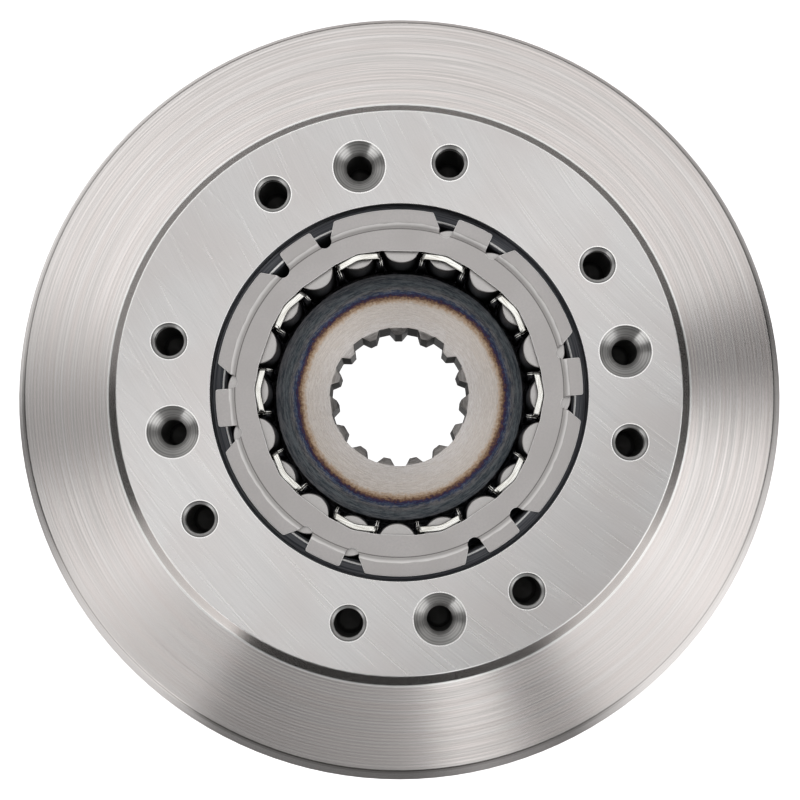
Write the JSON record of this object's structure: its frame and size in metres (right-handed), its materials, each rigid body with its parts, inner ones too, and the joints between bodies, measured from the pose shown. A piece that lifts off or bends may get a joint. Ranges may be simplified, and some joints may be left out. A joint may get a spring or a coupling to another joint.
{
  "type": "starter clutch",
  "caption": "Sprag starter clutch: a flanged steel housing with a sheet cage in its counterbore, a ring of sprags and a splined hub that turns freely one way.",
  "frame": {"origin": "centre of the housing's back face, on the clutch axis, with the part lying on its back", "axes": "+Z along the clutch axis out of the boss face that the picture shows; +Y is up in the picture, where a tooth of the spline points, and +X is right"},
  "size_m": [0.1338, 0.1338, 0.0315],
  "materials": {
    "housing_steel": "turned and ground steel",
    "cage_sheet": "satin sheet steel",
    "spring_steel": "bright spring strip",
    "sprag_steel": "ground ends",
    "dark_cage": "oiled dark steel",
    "hub_steel": "turned steel with temper colours",
    "bronze": "sintered bronze",
    "washer_steel": "plain",
    "clip_black": "phosphated spring steel"
  },
  "bodies": {
    "housing": {"clutch_housing": "housing_steel", "outer_cage": "cage_sheet", "ribbon_spring": "spring_steel", "pilot_bush": "bronze", "thrust_washer": "washer_steel"},
    "hub": {"inner_race_hub": "hub_steel", "retaining_ring": "clip_black"},
    "phase_cage": {"inner_cage": "dark_cage"},
    "sprag_01": {"sprag_01": "sprag_steel"},
    "sprag_02": {"sprag_02": "sprag_steel"},
    "sprag_03": {"sprag_03": "sprag_steel"},
    "sprag_04": {"sprag_04": "sprag_steel"},
    "sprag_05": {"sprag_05": "sprag_steel"},
    "sprag_06": {"sprag_06": "sprag_steel"},
    "sprag_07": {"sprag_07": "sprag_steel"},
    "sprag_08": {"sprag_08": "sprag_steel"},
    "sprag_09": {"sprag_09": "sprag_steel"},
    "sprag_10": {"sprag_10": "sprag_steel"},
    "sprag_11": {"sprag_11": "sprag_steel"},
    "sprag_12": {"sprag_12": "sprag_steel"},
    "sprag_13": {"sprag_13": "sprag_steel"},
    "sprag_14": {"sprag_14": "sprag_steel"},
    "sprag_15": {"sprag_15": "sprag_steel"},
    "sprag_16": {"sprag_16": "sprag_steel"},
    "sprag_17": {"sprag_17": "sprag_steel"},
    "sprag_18": {"sprag_18": "sprag_steel"},
    "sprag_19": {"sprag_19": "sprag_steel"},
    "sprag_20": {"sprag_20": "sprag_steel"}
  },
  "joints": [
    {"name": "hub_overrun", "type": "hinge", "parent": "housing", "child": "hub", "pos_m": [0, 0, 0.01], "axis": [0, 0, 1], "range_deg": [0, 372]},
    {"name": "inner_cage_shift", "type": "hinge", "parent": "housing", "child": "phase_cage", "pos_m": [0, 0, 0.01], "axis": [0, 0, 1], "range_deg": [0, 0.72], "stiffness_Nm_per_rad": 0.05},
    {"name": "sprag_01_tilt", "type": "hinge", "parent": "housing", "child": "sprag_01", "pos_m": [0.02587, -0.00054, 0.0174], "axis": [0, 0, 1], "range_deg": [-6, 0]},
    {"name": "sprag_02_tilt", "type": "hinge", "parent": "housing", "child": "sprag_02", "pos_m": [0.02477, 0.00748, 0.0174], "axis": [0, 0, 1], "range_deg": [-6, 0]},
    {"name": "sprag_03_tilt", "type": "hinge", "parent": "housing", "child": "sprag_03", "pos_m": [0.02125, 0.01477, 0.0174], "axis": [0, 0, 1], "range_deg": [-6, 0]},
    {"name": "sprag_04_tilt", "type": "hinge", "parent": "housing", "child": "sprag_04", "pos_m": [0.01564, 0.02061, 0.0174], "axis": [0, 0, 1], "range_deg": [-6, 0]},
    {"name": "sprag_05_tilt", "type": "hinge", "parent": "housing", "child": "sprag_05", "pos_m": [0.00851, 0.02444, 0.0174], "axis": [0, 0, 1], "range_deg": [-6, 0]},
    {"name": "sprag_06_tilt", "type": "hinge", "parent": "housing", "child": "sprag_06", "pos_m": [0.00054, 0.02587, 0.0174], "axis": [0, 0, 1], "range_deg": [-6, 0]},
    {"name": "sprag_07_tilt", "type": "hinge", "parent": "housing", "child": "sprag_07", "pos_m": [-0.00748, 0.02477, 0.0174], "axis": [0, 0, 1], "range_deg": [-6, 0]},
    {"name": "sprag_08_tilt", "type": "hinge", "parent": "housing", "child": "sprag_08", "pos_m": [-0.01477, 0.02125, 0.0174], "axis": [0, 0, 1], "range_deg": [-6, 0]},
    {"name": "sprag_09_tilt", "type": "hinge", "parent": "housing", "child": "sprag_09", "pos_m": [-0.02061, 0.01564, 0.0174], "axis": [0, 0, 1], "range_deg": [-6, 0]},
    {"name": "sprag_10_tilt", "type": "hinge", "parent": "housing", "child": "sprag_10", "pos_m": [-0.02444, 0.00851, 0.0174], "axis": [0, 0, 1], "range_deg": [-6, 0]},
    {"name": "sprag_11_tilt", "type": "hinge", "parent": "housing", "child": "sprag_11", "pos_m": [-0.02587, 0.00054, 0.0174], "axis": [0, 0, 1], "range_deg": [-6, 0]},
    {"name": "sprag_12_tilt", "type": "hinge", "parent": "housing", "child": "sprag_12", "pos_m": [-0.02477, -0.00748, 0.0174], "axis": [0, 0, 1], "range_deg": [-6, 0]},
    {"name": "sprag_13_tilt", "type": "hinge", "parent": "housing", "child": "sprag_13", "pos_m": [-0.02125, -0.01477, 0.0174], "axis": [0, 0, 1], "range_deg": [-6, 0]},
    {"name": "sprag_14_tilt", "type": "hinge", "parent": "housing", "child": "sprag_14", "pos_m": [-0.01564, -0.02061, 0.0174], "axis": [0, 0, 1], "range_deg": [-6, 0]},
    {"name": "sprag_15_tilt", "type": "hinge", "parent": "housing", "child": "sprag_15", "pos_m": [-0.00851, -0.02444, 0.0174], "axis": [0, 0, 1], "range_deg": [-6, 0]},
    {"name": "sprag_16_tilt", "type": "hinge", "parent": "housing", "child": "sprag_16", "pos_m": [-0.00054, -0.02587, 0.0174], "axis": [0, 0, 1], "range_deg": [-6, 0]},
    {"name": "sprag_17_tilt", "type": "hinge", "parent": "housing", "child": "sprag_17", "pos_m": [0.00748, -0.02477, 0.0174], "axis": [0, 0, 1], "range_deg": [-6, 0]},
    {"name": "sprag_18_tilt", "type": "hinge", "parent": "housing", "child": "sprag_18", "pos_m": [0.01477, -0.02125, 0.0174], "axis": [0, 0, 1], "range_deg": [-6, 0]},
    {"name": "sprag_19_tilt", "type": "hinge", "parent": "housing", "child": "sprag_19", "pos_m": [0.02061, -0.01564, 0.0174], "axis": [0, 0, 1], "range_deg": [-6, 0]},
    {"name": "sprag_20_tilt", "type": "hinge", "parent": "housing", "child": "sprag_20", "pos_m": [0.02444, -0.00851, 0.0174], "axis": [0, 0, 1], "range_deg": [-6, 0]}
  ],
  "couplings": [
    {"joint": "sprag_01_tilt", "follows": "inner_cage_shift", "ratio": -8.3243},
    {"joint": "sprag_02_tilt", "follows": "inner_cage_shift", "ratio": -8.3243},
    {"joint": "sprag_03_tilt", "follows": "inner_cage_shift", "ratio": -8.3243},
    {"joint": "sprag_04_tilt", "follows": "inner_cage_shift", "ratio": -8.3243},
    {"joint": "sprag_05_tilt", "follows": "inner_cage_shift", "ratio": -8.3243},
    {"joint": "sprag_06_tilt", "follows": "inner_cage_shift", "ratio": -8.3243},
    {"joint": "sprag_07_tilt", "follows": "inner_cage_shift", "ratio": -8.3243},
    {"joint": "sprag_08_tilt", "follows": "inner_cage_shift", "ratio": -8.3243},
    {"joint": "sprag_09_tilt", "follows": "inner_cage_shift", "ratio": -8.3243},
    {"joint": "sprag_10_tilt", "follows": "inner_cage_shift", "ratio": -8.3243},
    {"joint": "sprag_11_tilt", "follows": "inner_cage_shift", "ratio": -8.3243},
    {"joint": "sprag_12_tilt", "follows": "inner_cage_shift", "ratio": -8.3243},
    {"joint": "sprag_13_tilt", "follows": "inner_cage_shift", "ratio": -8.3243},
    {"joint": "sprag_14_tilt", "follows": "inner_cage_shift", "ratio": -8.3243},
    {"joint": "sprag_15_tilt", "follows": "inner_cage_shift", "ratio": -8.3243},
    {"joint": "sprag_16_tilt", "follows": "inner_cage_shift", "ratio": -8.3243},
    {"joint": "sprag_17_tilt", "follows": "inner_cage_shift", "ratio": -8.3243},
    {"joint": "sprag_18_tilt", "follows": "inner_cage_shift", "ratio": -8.3243},
    {"joint": "sprag_19_tilt", "follows": "inner_cage_shift", "ratio": -8.3243},
    {"joint": "sprag_20_tilt", "follows": "inner_cage_shift", "ratio": -8.3243}
  ]
}
